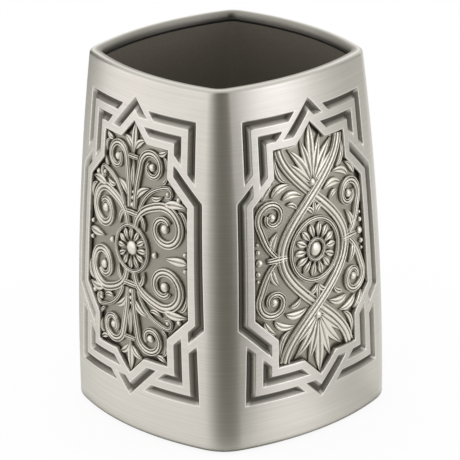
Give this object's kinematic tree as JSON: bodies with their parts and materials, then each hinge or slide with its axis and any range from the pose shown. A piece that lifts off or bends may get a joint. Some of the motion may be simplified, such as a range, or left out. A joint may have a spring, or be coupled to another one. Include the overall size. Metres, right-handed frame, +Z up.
{
  "type": "tumbler",
  "caption": "Square metal tumbler with bowed, tapering sides, interlaced strap frames round cast relief panels, a rounded rim and a dark liner; it stands on a shelf and holds brushes or water.",
  "frame": {"origin": "middle of the underside, on the surface that the tumbler stands on", "axes": "+Z up along the tumbler's middle line, -Y out of the front side, +X out of the right side"},
  "size_m": [0.0804, 0.0804, 0.11],
  "materials": {
    "shell_metal": "warm grey pewter, brushed level, dark in the grooves",
    "relief_metal": "matte cast pewter with a stippled ground",
    "liner_plastic": "matte dark grey",
    "seal_rubber": "matte black",
    "base_metal": "plain rolled sheet",
    "pad_rubber": "matte black foam rubber"
  },
  "bodies": {
    "root": {"outer_shell": "shell_metal", "relief_panel_front": "relief_metal", "relief_panel_right": "relief_metal", "relief_panel_back": "relief_metal", "relief_panel_left": "relief_metal", "inner_liner": "liner_plastic", "rim_seal": "seal_rubber", "base_plate": "base_metal", "base_pad": "pad_rubber"}
  },
  "joints": []
}
